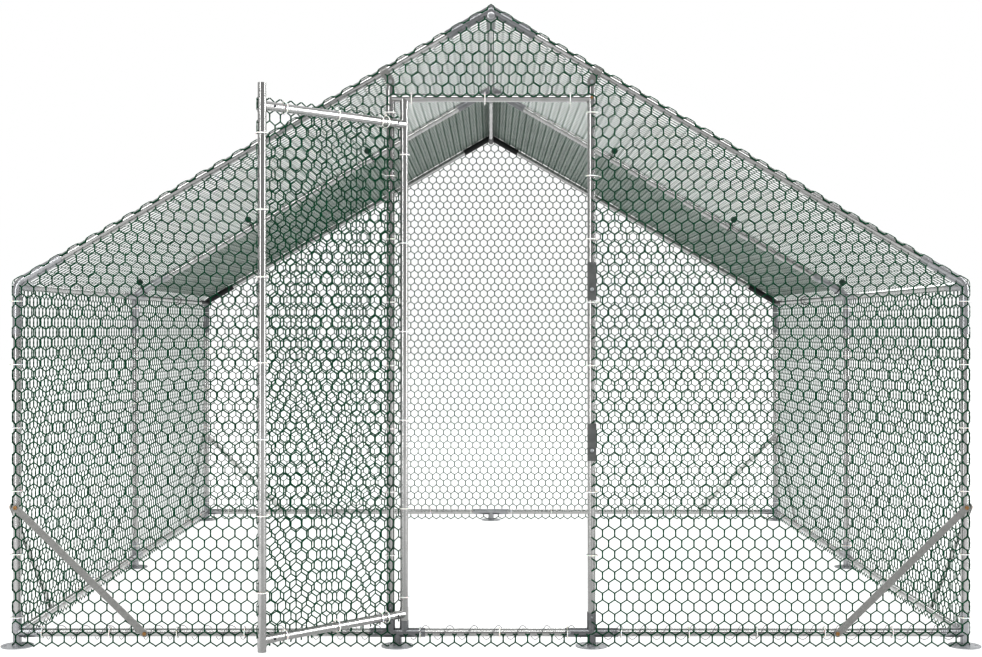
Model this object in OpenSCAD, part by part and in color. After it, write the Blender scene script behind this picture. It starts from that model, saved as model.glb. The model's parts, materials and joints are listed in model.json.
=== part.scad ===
// Walk-in chicken run: three gabled tube arches, hexagonal wire netting, a hinged door and a roof cover.
// Origin on the ground at the middle of the footprint, X to the right, Y from the door to the rear, Z up.

/* [Run] */
// Width between the centre lines of the left and right posts
run_width = 2970; // [2000:10:4000]
// Length of one bay, from arch to arch
bay_len = 1500; // [1000:10:2400]
// Height at which the post and rafter centre lines meet
eave_z = 1137; // [900:1:1500]
// Slope of the roof in degrees
roof_pitch = 30; // [24:1:36]

/* [Tube] */
// Outer diameter of every frame tube
tube_d = 25; // [20:0.1:30]
// Wall of the tube
tube_wall = 1.2; // [0.8:0.1:2]

/* [Connectors] */
// Radial gap between a tube and the sleeve round it
fit_gap = 0.2; // [0.1:0.05:0.4]
// Wall of the sleeves round posts and rafters
sleeve_wall = 1.8; // [1.4:0.1:2.6]
// Wall of the sleeves that branch off to rails and purlins
branch_wall = 1.4; // [1:0.1:1.8]
// Length of a connector arm, from the point where the centre lines meet
arm_len = 160; // [130:1:220]
// Depth that a tube goes into a connector arm
arm_insert = 70; // [40:1:80]
// Radius of the eave bend at its centre line
bend_r = 45; // [35:1:60]
// Drop of the eave purlin below the eave point
eave_drop = 8; // [6:0.5:12]
// Drop of the ridge purlin below the ridge point
ridge_drop = 20; // [16:1:26]
// Length of the ridge sleeve that shows past the end arches
ridge_nose = 14; // [8:1:20]

/* [Feet] */
// Height of the ground rails at their centre
rail_z = 43; // [36:1:60]
// Diameter of the ground plates
plate_d = 100; // [80:1:130]
// Thickness of the ground plates
plate_t = 3; // [2:0.5:5]
// Diameter of the stem between the plate and the rail sleeve
stem_d = 27; // [22:0.5:27.5]
// Diameter of the stake hole in the plate
stake_d = 10; // [6:0.5:14]
// Distance of the stake hole from the middle of the plate
stake_off = 36; // [28:0.5:40]
// Height of the post sleeve above the rail's centre line
foot_up = 64; // [56:1:90]
// Length of a rail sleeve, from the post's centre line
foot_arm = 77; // [66:1:110]
// Depth that a tube goes into a foot
foot_insert = 45; // [25:1:46]
// Half length of the rail sleeve on the rear centre foot
rear_arm = 90; // [70:1:140]

/* [Doorway] */
// Distance of each door post from the middle of the front
door_post_x = 315; // [290:1:420]
// Drop of the clip's bolt below the point where a door post would meet its rafter
clip_drop = 45.5; // [42:0.5:56]
// Height of a door post's top end above the clip's bolt
post_top_rise = 11; // [9:0.5:16]
// Drop of the lintel's centre line below the clip's bolt
lintel_drop = 49; // [44:0.5:90]
// Half length of the rail sleeve on the latch foot
latch_arm = 83; // [66:1:110]
// Half length of the rail sleeve on the hinge foot
hinge_arm = 87; // [78:1:110]
// Height of the post sleeve on the hinge foot above the rail's centre line
hinge_up = 92; // [60:1:120]
// Direction of the hinge foot's stake hole from +X, clear of the open door
hinge_stake_turn = -45; // [-60:1:-30]
// Reach of the post sleeve on the hinge tee above the lintel's centre line
hinge_tee_up = 26; // [20:1:30]
// Reach of that sleeve below the lintel's centre line
hinge_tee_low = 50; // [30:1:70]
// Length of the lintel sleeve on the hinge tee, from the post's centre line
hinge_tee_arm = 115; // [100:1:150]
// Depth that the lintel goes into the hinge tee
lintel_insert = 50; // [20:1:54]
// Width of the clip that ties a door post to its rafter
clip_w = 26; // [18:1:30]

/* [Door] */
// Distance from the left door post to the hinge axis
hinge_gap = 43; // [36:0.5:60]
// Distance from the right door post to the closed door's outer stile
latch_gap = 43; // [36:0.5:60]
// Gap between the sill's sleeves and the lower ends of the stiles
stile_lift = 10.4; // [6:0.1:20]
// Gap between the upper ends of the stiles and the lintel's sleeves
stile_play = 3.4; // [2:0.1:8]
// Depth of the lower hinge socket, whose rim carries the door
socket_depth = 14; // [10:0.5:24]
// Depth that the stile's top end goes into the upper hinge stub
stub_depth = 19.5; // [14:0.5:28]
// Wall of the two hinge sockets
socket_wall = 1.3; // [1:0.1:1.6]
// Drop of the door's upper rail below the stiles' top ends
door_rail_drop = 64.5; // [56:0.5:200]
// Length of a tee clamp's sleeve along the stile
tee_len = 40; // [34:1:60]
// Length of a tee clamp's arm along the rail, from the stile's centre line
tee_arm = 45; // [36:1:70]
// Depth that a rail goes into a tee clamp
tee_insert = 22; // [10:1:24]
// Wall of a tee clamp's sleeve
tee_wall = 0.9; // [0.8:0.1:1.1]
// Wall of a tee clamp's arm
tee_arm_wall = 0.6; // [0.5:0.1:0.7]
// Gap between the open door's netting and the foot sleeve that stops it
stop_gap = 0.5; // [0.3:0.1:4]

/* [Latches] */
// Length of a latch plate
latch_len = 117; // [100:1:140]
// Width of a latch plate
latch_w = 28; // [22:1:32]
// Thickness of a latch plate
latch_t = 2.5; // [2:0.1:4]
// Distance from the pivot to the long end of the plate
latch_reach = 84; // [70:1:100]
// Height of the upper latch's pivot
latch_high = 1118; // [900:1:1300]
// Height of the lower latch's pivot
latch_low = 615; // [400:1:800]

/* [Braces] */
// Width of a corner brace
brace_w = 22; // [16:1:30]
// Thickness of a corner brace
brace_t = 3; // [2:0.5:5]
// Distance of the rail screw from the post's centre line
brace_run = 403; // [250:1:500]
// Height of the post screw above the rail's centre line
brace_rise = 393; // [250:1:500]
// Diameter of the screws
screw_d = 6; // [4:0.5:7]

/* [Netting] */
// Spacing of the netting's hexagons
net_pitch = 166; // [150:1:220]
// Width of a twisted strand
strand_w = 3; // [2:0.5:5]
// Thickness of the netting
net_t = 1.5; // [1:0.1:1.6]
// Width of the selvedge round each panel
edge_w = 5; // [3:0.5:8]

/* [Cover] */
// Thickness of the cover sheet
cover_t = 1; // [0.6:0.1:2]
// Distance of the cover's front edge behind the middle arch
cover_set = 15; // [10:1:20]
// Overhang of the cover behind the rear arch
cover_tail = 12; // [6:1:14]
// Diameter of the elastic cord
elastic_d = 4; // [3:0.5:5]
// Diameter of the ball on each elastic loop
ball_d = 27; // [20:1:32]
// Distance of the lowest loop up the slope from the eave
eave_loop_up = 42; // [40:1:80]

/* [Hidden] */
$fn = 64;
// Clearances and overruns
cut = 1;
end_gap = 0.5;
seat_gap = 0.3;
bend_step = 0.2;
run_gap = 0.08;
screw_gap = 0.1;
// Side and row of a corner: -1 is left or front, 0 the middle arch, 1 right or rear
LEFT = -1;
RIGHT = 1;
FRONT = -1;
MIDDLE = 0;
REAR = 1;
// Finishes
zinc = "#b8bcc0";
cast = "#6c7276";
plated = "#a98a58";
coated = "#2d4a3d";
sheet_grey = "#8b8f8c";
black = "#1c1e1f";
// Radii
tube_r = tube_d / 2;
bore_r = tube_r + fit_gap;
sleeve_r = bore_r + sleeve_wall;
branch_r = bore_r + branch_wall;
tee_r = bore_r + tee_wall;
tee_arm_r = bore_r + tee_arm_wall;
pivot_r = tube_r + run_gap;
socket_r = pivot_r + socket_wall;
screw_r = screw_d / 2;
hole_r = screw_r + screw_gap;
head_r = screw_d;
head_h = screw_d / 2;
screw_bite = screw_d;
spacer_share = 0.95;
spacer_r = screw_d * spacer_share;
elastic_r = elastic_d / 2;
// Arch
half_w = run_width / 2;
slope_len = half_w / cos(roof_pitch);
ridge_z = eave_z + half_w * tan(roof_pitch);
turn = 90 - roof_pitch;
bend_t = bend_r * tan(turn / 2);
arm_stop = arm_len - arm_insert;
// Feet
foot_stop = foot_arm - foot_insert;
post_low = rail_z + foot_up - foot_insert;
hinge_x = -door_post_x + hinge_gap;
hinge_foot_x = -door_post_x + hinge_gap / 2;
// Doorway, counted down from the point where a door post would meet its rafter
post_rafter_z = ridge_z - door_post_x * tan(roof_pitch);
clip_z = post_rafter_z - clip_drop;
door_post_top = clip_z + post_top_rise;
lintel_z = clip_z - lintel_drop;
// Door
door_w = 2 * door_post_x - hinge_gap - latch_gap;
tee_stop = tee_arm - tee_insert;
stile_low = rail_z + branch_r + stile_lift;
stile_top = lintel_z - branch_r - stile_play;
socket_top = stile_low + socket_depth;
stub_len = lintel_z - stile_top + stub_depth;
door_rail_low = socket_top + seat_gap + tee_len / 2;
door_rail_high = stile_top - door_rail_drop;
// Layers outside the frame: netting first, then braces and latches
net_off = sleeve_r + seat_gap;
strip_off = net_off + net_t + seat_gap;
cover_off = net_off + net_t + seat_gap;
door_net_off = tee_r + seat_gap;
latch_off = strip_off + seat_gap;
// Angle at which the door stands open, with its netting against the sleeve of the left door post's foot
door_open = 180 - asin((door_net_off + net_t + stop_gap + sleeve_r) / hinge_gap);
// Netting: panels stop short of the tubes' centre lines, so that the screws pass beside them
lap_share = 1 / 3;
net_lap = head_r + screw_gap + edge_w * lap_share;
net_row = net_pitch * sqrt(3) / 2;
gap_r = (net_pitch - strand_w) / sqrt(3);
least_gap_share = 0.04;
net_end_share = 0.8;
roof_net_end = bay_len + tube_r * net_end_share;
roof_net_low = bend_t;
roof_net_high = (half_w + net_off * sin(roof_pitch)) / cos(roof_pitch) - edge_w;
// Elastic loops: rows of netting, counted down from the ridge, whose gaps they pass through
loop_shares = [0.335, 0.67];
loop_rows = [for (share = loop_shares) round(share * slope_len / net_row)];
loop_ups = concat([for (n = loop_rows) slope_len - n * net_row], [eave_loop_up]);
loop_low = sleeve_r + seat_gap + elastic_r;
loop_high = cover_off + cover_t + elastic_r + elastic_d;
loop_r = (loop_low + loop_high) / 2;
loop_mid = (loop_high - loop_low) / 2;
ball_off = loop_high + ball_d / 2;
eyelet_share = 1.8;
eyelet_r = elastic_r * eyelet_share;
hem_share = 3;
eyelet_y = cover_set + eyelet_r * hem_share;
eyelet_h = cover_off + cover_t / 2 - loop_mid;
loop_run = eyelet_y - sqrt(loop_r * loop_r - eyelet_h * eyelet_h);

// Placing: pieces are drawn on the right or at the rear and mirrored to the other side
module on_side(side) mirror([side < 0 ? 1 : 0, 0, 0]) children();
module on_row(row) mirror([0, row < 0 ? 1 : 0, 0]) children();
module along_x() rotate([0, 90, 0]) children();
module along_y() rotate([-90, 0, 0]) children();
module along_rafter() rotate([0, -turn, 0]) children();

// A tube from the origin up
module tube(len) {
    difference() {
        cylinder(r = tube_r, h = len);
        translate([0, 0, -cut]) cylinder(r = tube_r - tube_wall, h = len + 2 * cut);
    }
}

// The bore for a tube that ends at z = 0 in its sleeve and leaves it upwards
module bore(depth) {
    translate([0, 0, -end_gap]) cylinder(r = bore_r, h = depth + end_gap + cut);
}

// The hollow of a connector arm that runs up from z = 0 and is closed below z = from
module arm_bore(from) {
    translate([0, 0, from]) cylinder(r = bore_r, h = arm_len - from + cut);
}

// A screw along +Y, with its tip in the tube at y = 0 and its head on the face at y = face
module screw(face) {
    along_y() {
        tip = tube_r - tube_wall - screw_bite;
        translate([0, 0, tip]) cylinder(r = screw_r, h = face - tip + seat_gap);
        translate([0, 0, face + screw_gap]) cylinder(r = head_r, h = head_h);
    }
}

module screw_hole() {
    along_y() cylinder(r = hole_r, h = tube_r + cut);
}

// The places of the brace screws: on the post and on the rail, at the ends and the sides of each corner
module at_corners() {
    for (side = [LEFT, RIGHT], row = [FRONT, REAR])
        on_side(side) on_row(row) translate([half_w, bay_len, rail_z]) {
            children();
            mirror([1, -1, 0]) children();
        }
}

module at_brace_screws() {
    at_corners() {
        translate([0, 0, brace_rise]) children();
        translate([-brace_run, 0, 0]) children();
    }
}

// Tubes
module post(side, row) {
    top = eave_z - arm_stop;
    color(zinc) difference() {
        on_side(side) translate([half_w, row * bay_len, post_low]) tube(top - post_low);
        if (row != MIDDLE) at_brace_screws() screw_hole();
    }
}

module rafter(side, row) {
    color(zinc) on_side(side) translate([half_w, row * bay_len, eave_z])
        along_rafter() translate([0, 0, arm_stop]) tube(slope_len - 2 * arm_stop);
}

module eave_purlins() {
    color(zinc) for (side = [LEFT, RIGHT], row = [FRONT, REAR])
        on_side(side) on_row(row) translate([half_w, arm_stop, eave_z - eave_drop])
            along_y() tube(bay_len - 2 * arm_stop);
}

module ridge_purlins() {
    color(zinc) for (row = [FRONT, REAR])
        on_row(row) translate([0, arm_stop, ridge_z - ridge_drop])
            along_y() tube(bay_len - 2 * arm_stop);
}

module side_ground_rails() {
    color(zinc) difference() {
        for (side = [LEFT, RIGHT], row = [FRONT, REAR])
            on_side(side) on_row(row) translate([half_w, foot_stop, rail_z])
                along_y() tube(bay_len - 2 * foot_stop);
        at_brace_screws() screw_hole();
    }
}

module rear_ground_rails() {
    inner = rear_arm - foot_insert;
    color(zinc) difference() {
        for (side = [LEFT, RIGHT])
            on_side(side) translate([inner, bay_len, rail_z]) along_x() tube(half_w - foot_stop - inner);
        at_brace_screws() screw_hole();
    }
}

// A rail along X at the front, between two ends
module front_rail(from, to) {
    translate([from, -bay_len, rail_z]) along_x() tube(to - from);
}

module front_ground_rails() {
    color(zinc) difference() {
        union() {
            front_rail(foot_stop - half_w, hinge_foot_x - hinge_arm + foot_insert);
            front_rail(door_post_x + latch_arm - foot_insert, half_w - foot_stop);
        }
        at_brace_screws() screw_hole();
    }
}

module door_sill() {
    color(zinc) front_rail(hinge_foot_x + hinge_arm - foot_insert, door_post_x - latch_arm + foot_insert);
}

module left_door_post() {
    color(zinc) difference() {
        translate([-door_post_x, -bay_len, post_low]) tube(door_post_top - post_low);
        translate([-door_post_x, -bay_len, clip_z]) on_row(FRONT) screw_hole();
    }
}

module right_door_post() {
    color(zinc) difference() {
        translate([door_post_x, -bay_len, post_low]) tube(door_post_top - post_low);
        for (z = [clip_z, latch_high, latch_low])
            translate([door_post_x, -bay_len, z]) on_row(FRONT) screw_hole();
    }
}

module lintel() {
    from = hinge_tee_arm - lintel_insert - door_post_x;
    color(zinc) translate([from, -bay_len, lintel_z]) along_x() tube(door_post_x - tee_stop - from);
}

// Connectors
// Purlin sleeve and its bore, towards +Y
module purlin_sleeve() along_y() cylinder(r = branch_r, h = arm_len);
module purlin_bore() along_y() arm_bore(sleeve_r + sleeve_wall);

// The purlin's directions at an arch: both ways at the middle, inwards at the ends
function purlin_rows(row) = row == MIDDLE ? [FRONT, REAR] : [-row];

module eave_elbow(side, row) {
    color(cast) on_side(side) translate([half_w, row * bay_len, eave_z]) difference() {
        union() {
            translate([0, 0, -arm_len]) cylinder(r = sleeve_r, h = arm_len - bend_t + cut);
            translate([-bend_r, 0, -bend_t]) rotate([90, 0, 0])
                rotate_extrude(angle = turn) translate([bend_r, 0]) circle(r = sleeve_r - bend_step);
            along_rafter() translate([0, 0, bend_t - cut])
                cylinder(r = sleeve_r, h = arm_len - bend_t + cut);
            for (way = purlin_rows(row)) translate([0, 0, -eave_drop]) on_row(way) purlin_sleeve();
        }
        mirror([0, 0, 1]) arm_bore(bend_t + sleeve_wall);
        along_rafter() arm_bore(bend_t + sleeve_wall);
        for (way = purlin_rows(row)) translate([0, 0, -eave_drop]) on_row(way) purlin_bore();
    }
}

// One rafter arm of an apex joint, cut off at the middle plane
module apex_arm() {
    intersection() {
        rotate([0, 90 + roof_pitch, 0]) translate([0, 0, -2 * sleeve_r])
            cylinder(r = sleeve_r, h = arm_len + 2 * sleeve_r);
        translate([0, -2 * sleeve_r, -arm_len])
            cube([arm_len + sleeve_r, 4 * sleeve_r, arm_len + 2 * sleeve_r]);
    }
}

module apex_joint(row) {
    nose = row == MIDDLE ? arm_len : ridge_nose;
    color(cast) on_row(row) translate([0, abs(row) * bay_len, ridge_z]) difference() {
        union() {
            for (side = [LEFT, RIGHT]) on_side(side) apex_arm();
            translate([0, -arm_len, -ridge_drop]) along_y() cylinder(r = branch_r, h = arm_len + nose);
        }
        for (side = [LEFT, RIGHT]) on_side(side)
            rotate([0, 90 + roof_pitch, 0]) arm_bore(2 * sleeve_r);
        translate([0, -arm_len - cut, -ridge_drop]) along_y()
            cylinder(r = bore_r, h = arm_len + nose + 2 * cut);
    }
}

// Ground plate with its stake hole and the stem up to the rail
module foot_base() {
    difference() {
        cylinder(d = plate_d, h = plate_t);
        translate([stake_off, 0, -cut]) cylinder(d = stake_d, h = plate_t + 2 * cut);
    }
    cylinder(d = stem_d, h = rail_z);
}

// Post sleeve above the rail, and the bore for the post
module foot_sleeve(up) translate([0, 0, rail_z]) cylinder(r = sleeve_r, h = up);
module foot_bore(up) translate([0, 0, post_low]) bore(rail_z + up - post_low);

// Rail sleeve along +X, from the post's centre line, and the bore for its rail
module rail_sleeve(len) translate([0, 0, rail_z]) along_x() cylinder(r = branch_r, h = len);
module rail_bore(len) translate([len - foot_insert, 0, rail_z]) along_x() bore(foot_insert);

module corner_foot(side, row) {
    color(cast) on_side(side) on_row(row) translate([half_w, bay_len, 0]) difference() {
        union() {
            foot_base();
            foot_sleeve(foot_up);
            rotate([0, 0, 180]) rail_sleeve(foot_arm);
            rotate([0, 0, -90]) rail_sleeve(foot_arm);
        }
        foot_bore(foot_up);
        rotate([0, 0, 180]) rail_bore(foot_arm);
        rotate([0, 0, -90]) rail_bore(foot_arm);
    }
}

// A rail sleeve that runs through, with a rail in each end
module through_sleeve(len) translate([-len, 0, 0]) rail_sleeve(2 * len);
module through_bores(len) for (side = [LEFT, RIGHT]) on_side(side) rail_bore(len);

module middle_feet() {
    color(cast) for (side = [LEFT, RIGHT]) on_side(side) translate([half_w, 0, 0]) difference() {
        union() {
            foot_base();
            foot_sleeve(foot_up);
            rotate([0, 0, 90]) through_sleeve(foot_arm);
        }
        foot_bore(foot_up);
        rotate([0, 0, 90]) through_bores(foot_arm);
    }
}

module rear_centre_foot() {
    color(cast) translate([0, bay_len, 0]) difference() {
        union() {
            rotate([0, 0, 90]) foot_base();
            through_sleeve(rear_arm);
        }
        through_bores(rear_arm);
    }
}

module latch_foot() {
    color(cast) translate([door_post_x, -bay_len, 0]) difference() {
        union() {
            rotate([0, 0, -90]) foot_base();
            foot_sleeve(foot_up);
            through_sleeve(latch_arm);
        }
        foot_bore(foot_up);
        through_bores(latch_arm);
    }
}

// Foot with two uprights: the door post's sleeve and the socket that the hinge stile turns in
module hinge_foot() {
    color(cast) translate([hinge_foot_x, -bay_len, 0]) difference() {
        union() {
            rotate([0, 0, hinge_stake_turn]) foot_base();
            through_sleeve(hinge_arm);
            translate([-hinge_gap / 2, 0, 0]) foot_sleeve(hinge_up);
            translate([hinge_gap / 2, 0, rail_z]) cylinder(r = socket_r, h = socket_top - rail_z);
        }
        translate([-hinge_gap / 2, 0, 0]) foot_bore(hinge_up);
        translate([hinge_gap / 2, 0, stile_low - seat_gap])
            cylinder(r = pivot_r, h = socket_top - stile_low + seat_gap + cut);
        through_bores(hinge_arm);
    }
}

// Tee on the left door post that takes the lintel, with the stub that the hinge stile's top turns in
module lintel_hinge_tee() {
    color(cast) translate([-door_post_x, -bay_len, lintel_z]) difference() {
        union() {
            translate([0, 0, -hinge_tee_low]) cylinder(r = sleeve_r, h = hinge_tee_low + hinge_tee_up);
            along_x() cylinder(r = branch_r, h = hinge_tee_arm);
            translate([hinge_gap, 0, -stub_len]) cylinder(r = socket_r, h = stub_len);
        }
        translate([0, 0, -hinge_tee_low - cut])
            cylinder(r = bore_r, h = hinge_tee_low + hinge_tee_up + 2 * cut);
        translate([hinge_tee_arm - lintel_insert, 0, 0]) along_x() bore(lintel_insert);
        translate([hinge_gap, 0, -stub_len - cut])
            cylinder(r = pivot_r, h = stile_top + end_gap - lintel_z + stub_len + cut);
    }
}

// Tee clamp: a sleeve round the upright and an arm along +X for the rail
module tee_clamp() {
    difference() {
        union() {
            translate([0, 0, -tee_len / 2]) cylinder(r = tee_r, h = tee_len);
            along_x() cylinder(r = tee_arm_r, h = tee_arm);
        }
        translate([0, 0, -tee_len / 2 - cut]) cylinder(r = bore_r, h = tee_len + 2 * cut);
        translate([tee_stop, 0, 0]) along_x() bore(tee_insert);
    }
}

module lintel_tee() {
    color(cast) translate([door_post_x, -bay_len, lintel_z]) on_side(LEFT) tee_clamp();
}

// Clips that tie the door posts' tops to the rafters: a ring round the rafter and a tab down to the bolt
module post_top_clips() {
    rise = clip_drop * cos(roof_pitch);
    tab_t = sleeve_wall;
    color(zinc) for (side = [LEFT, RIGHT]) on_side(side)
        translate([door_post_x, -bay_len, clip_z]) rotate([0, roof_pitch, 0]) difference() {
            union() {
                translate([-clip_w / 2, 0, rise]) along_x() cylinder(r = sleeve_r, h = clip_w);
                translate([-clip_w / 2, -sleeve_r, 0]) cube([clip_w, tab_t, rise]);
                translate([0, -sleeve_r, 0]) along_y() cylinder(d = clip_w, h = tab_t);
            }
            translate([-clip_w / 2 - cut, 0, rise]) along_x() cylinder(r = bore_r, h = clip_w + 2 * cut);
            translate([0, -sleeve_r - cut, 0]) along_y() cylinder(r = hole_r, h = tab_t + 2 * cut);
        }
}

// Braces and screws
// Flat strip on the outside of a corner, from the post's screw down to the rail's screw
module brace() {
    len = sqrt(brace_run * brace_run + brace_rise * brace_rise);
    translate([0, strip_off, brace_rise]) rotate([0, atan2(-brace_run, -brace_rise), 0]) difference() {
        union() {
            translate([-brace_w / 2, 0, 0]) cube([brace_w, brace_t, len]);
            for (z = [0, len]) translate([0, 0, z]) along_y() cylinder(d = brace_w, h = brace_t);
        }
        for (z = [0, len]) translate([0, -cut, z]) along_y() cylinder(r = hole_r, h = brace_t + 2 * cut);
    }
}

module corner_braces() color(zinc) at_corners() brace();

module frame_screws() {
    color(plated) {
        at_brace_screws() screw(strip_off + brace_t);
        for (side = [LEFT, RIGHT])
            on_side(side) translate([door_post_x, -bay_len, clip_z]) on_row(FRONT) screw(sleeve_r);
    }
}

// Netting
// The part of an outline on the inner side of one edge, which is moved in by the width of the selvedge
function clip_edge(pts, from, to) =
    let (way = (to - from) / norm(to - from), inward = [-way[1], way[0]], at = from + inward * edge_w)
    [for (i = [0 : 1 : len(pts) - 1])
        let (p = pts[i], q = pts[(i + 1) % len(pts)], dp = (p - at) * inward, dq = (q - at) * inward)
        each concat(dp >= 0 ? [p] : [], (dp >= 0) != (dq >= 0) ? [p + (q - p) * dp / (dp - dq)] : [])];

function clip_gap(pts, outline, i = 0) =
    i == len(outline) || len(pts) < 3 ? pts
    : clip_gap(clip_edge(pts, outline[i], outline[(i + 1) % len(outline)]), outline, i + 1);

function area(pts) =
    len(pts) < 3 ? 0
    : [for (i = [0 : len(pts) - 1]) cross(pts[i], pts[(i + 1) % len(pts)])] * [for (p = pts) 0.5];

// A hexagon with upright sides
function hexagon(centre) = [for (a = [30 : 60 : 330]) centre + gap_r * [cos(a), sin(a)]];

// The netting's gaps inside an outline that runs anticlockwise, with a gap's middle at start
function net_gaps(outline, start) =
    let (xs = [for (p = outline) p[0]], ys = [for (p = outline) p[1]],
        first = [floor((min(xs) - start[0]) / net_pitch) - 1, floor((min(ys) - start[1]) / net_row)],
        last = [ceil((max(xs) - start[0]) / net_pitch), ceil((max(ys) - start[1]) / net_row)])
    [for (j = [first[1] : last[1]], i = [first[0] : last[0]])
        let (odd = abs(j) % 2 / 2, centre = start + [(i + odd) * net_pitch, j * net_row],
            gap = clip_gap(hexagon(centre), outline))
        if (area(gap) > least_gap_share * net_pitch * net_row) gap];

// A flat net in the XY plane
module net(outline, start) {
    linear_extrude(net_t) difference() {
        polygon(outline);
        for (gap = net_gaps(outline, start)) polygon(gap);
    }
}

// A net that stands in the plane of an end arch, with its back on the frame and its face towards -Y
module end_net(outline, start, off = net_off) {
    translate([0, -off, 0]) rotate([90, 0, 0]) net(outline, start);
}

// Height of a gable net's upper edge at a distance from the middle
function gable_z(x) = ridge_z - abs(x) * tan(roof_pitch) - net_lap / cos(roof_pitch);
net_low = rail_z + net_lap;
net_side = half_w - net_lap;

module front_side_net(side) {
    inner = door_post_x + net_lap;
    outline = [
        [inner, net_low], [net_side, net_low], [net_side, gable_z(net_side)], [inner, gable_z(inner)]
    ];
    color(coated) translate([0, -bay_len, 0]) on_side(side) end_net(outline, [inner, net_low]);
}

module front_gable_net() {
    side = door_post_x - net_lap;
    low = lintel_z + net_lap;
    outline = [[-side, low], [side, low], [side, gable_z(side)], [0, gable_z(0)], [-side, gable_z(side)]];
    color(coated) translate([0, -bay_len, 0]) end_net(outline, [0, low]);
}

module rear_net() {
    outline = [
        [-net_side, net_low], [net_side, net_low], [net_side, gable_z(net_side)],
        [0, gable_z(0)], [-net_side, gable_z(net_side)]
    ];
    color(coated) translate([0, bay_len, 0]) on_row(FRONT) end_net(outline, [0, net_low]);
}

module side_net(side) {
    end = bay_len - net_lap;
    high = eave_z - eave_drop - net_lap;
    outline = [[-end, net_low], [end, net_low], [end, high], [-end, high]];
    color(coated) on_side(side) translate([half_w, 0, 0]) rotate([0, 0, 90]) end_net(outline, [0, net_low]);
}

// A roof net lies on the rafters: its X is the run's Y and its Y runs up the slope from the eave
module roof_net(side) {
    outline = [
        [-roof_net_end, roof_net_low], [roof_net_end, roof_net_low],
        [roof_net_end, roof_net_high], [-roof_net_end, roof_net_high]
    ];
    color(coated) on_side(side) translate([half_w, 0, eave_z]) along_rafter()
        rotate([0, 0, 90]) end_net(outline, [0, slope_len]);
}

// Cover
// A point of the roof's section, at a distance up the slope and off the rafters' centre line
function roof_point(up, off) = [
    half_w - up * cos(roof_pitch) + off * sin(roof_pitch),
    eave_z + up * sin(roof_pitch) + off * cos(roof_pitch)
];

// Places of the elastic loops on the middle rafters
module at_loops() {
    for (side = [LEFT, RIGHT], up = loop_ups)
        on_side(side) translate([half_w, 0, eave_z]) along_rafter()
            translate([0, 0, up]) mirror([1, -1, 0]) children();
}

module roof_cover() {
    low = roof_net_low;
    right = [roof_point(low, cover_off), roof_point(low, cover_off + cover_t)];
    ridge = [for (off = [cover_off + cover_t, cover_off]) [0, ridge_z + off / cos(roof_pitch)]];
    outline = [
        right[0], right[1], ridge[0], [-right[1][0], right[1][1]], [-right[0][0], right[0][1]], ridge[1]
    ];
    color(sheet_grey) difference() {
        translate([0, bay_len + cover_tail, 0]) rotate([90, 0, 0])
            linear_extrude(bay_len + cover_tail - cover_set) polygon(outline);
        at_loops() translate([eyelet_y, 0, 0]) rotate([90, 0, 0])
            cylinder(r = eyelet_r, h = 4 * cover_off, center = true);
    }
}

// Elastic loop round the rafter and through the eyelet, in the XY plane with X to the rear and Y off the
// roof, and the ball that holds it on top of the cover
module bungee() {
    for (end = [[0, 90], [loop_run, -90]])
        translate([end[0], loop_mid, 0]) rotate([0, 0, end[1]])
            rotate_extrude(angle = 180) translate([loop_r, 0]) circle(r = elastic_r);
    for (y = [-loop_low, loop_high])
        translate([0, y, 0]) along_x() cylinder(r = elastic_r, h = loop_run);
    translate([0, ball_off, 0]) sphere(d = ball_d);
}

module cover_bungees() color(black) at_loops() bungee();

// Door
module on_door() translate([hinge_x, -bay_len, 0]) rotate([0, 0, -door_open]) children();

module door_stiles() {
    color(zinc) on_door() for (x = [0, door_w]) translate([x, 0, stile_low]) tube(stile_top - stile_low);
}

module door_rails() {
    color(zinc) on_door() for (z = [door_rail_low, door_rail_high])
        translate([tee_stop, 0, z]) along_x() tube(door_w - 2 * tee_stop);
}

module door_tees() {
    color(cast) on_door() for (z = [door_rail_low, door_rail_high]) {
        translate([0, 0, z]) tee_clamp();
        translate([door_w, 0, z]) on_side(LEFT) tee_clamp();
    }
}

module door_net() {
    low = door_rail_low - tee_len / 3;
    high = door_rail_high + tee_len / 2;
    outline = [[-tube_r, low], [door_w + tube_r, low], [door_w + tube_r, high], [-tube_r, high]];
    color(coated) on_door() end_net(outline, [door_w / 2, low], door_net_off);
}

// Latches: plates that turn on a bolt in the right door post, long end up when the door is free
module latch(z) {
    short = latch_len - latch_reach;
    color(cast) translate([door_post_x, -bay_len - latch_off - latch_t, z]) difference() {
        translate([-latch_w / 2, 0, -short]) cube([latch_w, latch_t, latch_len]);
        translate([0, -cut, 0]) along_y() cylinder(r = screw_r + run_gap, h = latch_t + 2 * cut);
    }
}

module latch_bolts() {
    face = latch_off + latch_t + seat_gap;
    color(zinc) for (z = [latch_high, latch_low])
        translate([door_post_x, -bay_len, z]) on_row(FRONT) {
            screw(face);
            translate([0, tube_r + screw_gap, 0]) along_y()
                cylinder(r = spacer_r, h = latch_off - tube_r - seat_gap - screw_gap);
        }
}

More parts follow.
